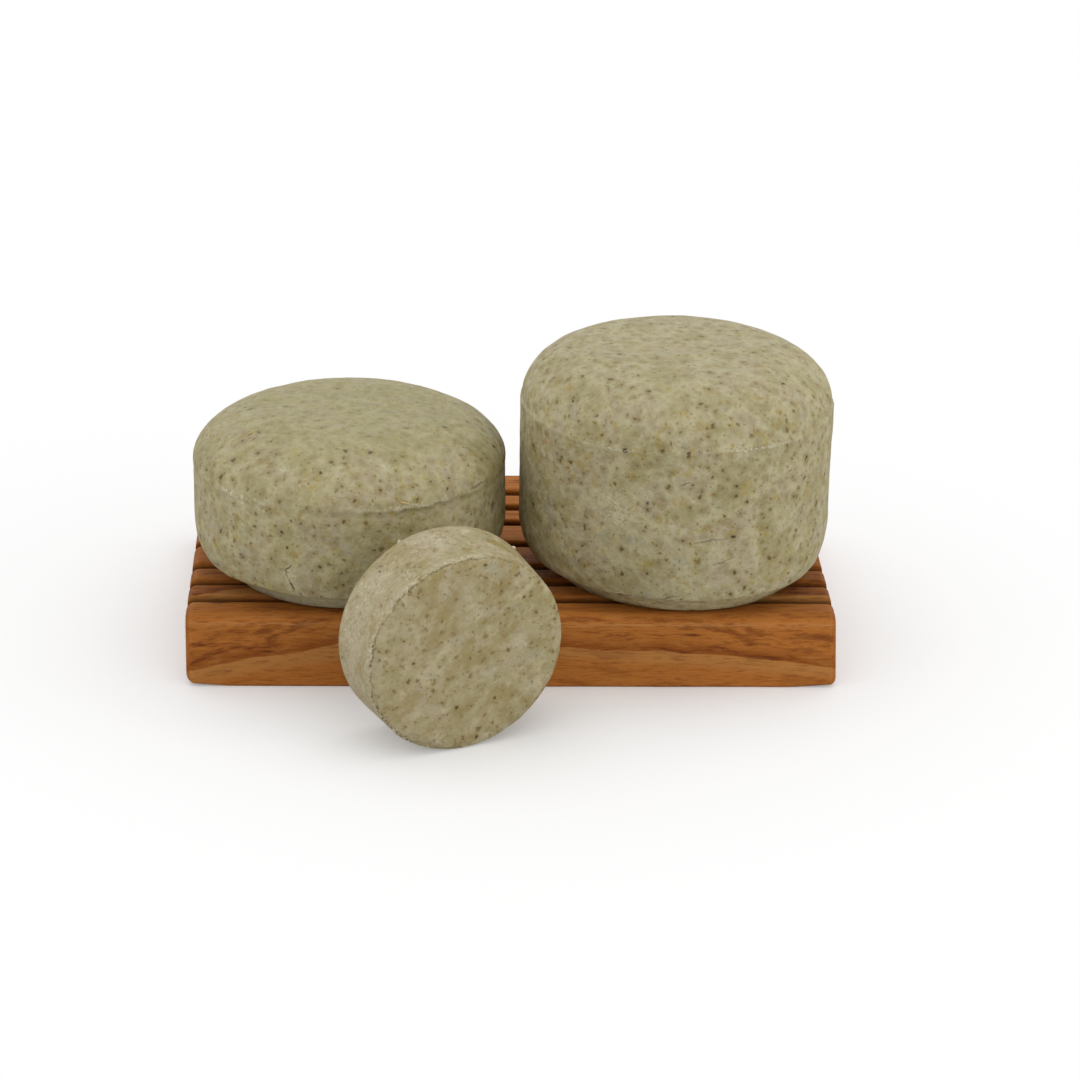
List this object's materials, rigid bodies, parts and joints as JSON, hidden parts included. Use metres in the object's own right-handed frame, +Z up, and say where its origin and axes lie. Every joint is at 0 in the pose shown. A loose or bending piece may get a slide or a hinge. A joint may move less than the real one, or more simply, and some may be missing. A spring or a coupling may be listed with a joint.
{
  "type": "shaving soap set",
  "caption": "Shaving soap set: tall, short and sample-size round soap pucks with a grooved wooden draining dish that carries the larger ones.",
  "frame": {"origin": "middle of the wooden dish's flat underside, which is also the surface the set stands on", "axes": "+X along the dish's grooves, towards the tall puck; -Y to the front, where the sample puck stands; +Z up"},
  "size_m": [0.144, 0.1276, 0.0703],
  "materials": {
    "oiled_wood": "satin",
    "soap": "matte",
    "sample_soap": "matte"
  },
  "bodies": {
    "dish": {"dish": "oiled_wood"},
    "tall_puck": {"tall_puck": "soap"},
    "short_puck": {"short_puck": "soap"},
    "sample_puck": {"sample_puck": "sample_soap"}
  },
  "joints": [
    {"name": "tall_puck_lift", "type": "slide", "parent": "dish", "child": "tall_puck", "axis": [0, 0, 1], "range_m": [0, 0.075]},
    {"name": "short_puck_lift", "type": "slide", "parent": "dish", "child": "short_puck", "axis": [0, 0, 1], "range_m": [0, 0.075]},
    {"name": "sample_puck_lift", "type": "slide", "parent": "dish", "child": "sample_puck", "axis": [0, 0, 1], "range_m": [0, 0.075]}
  ]
}
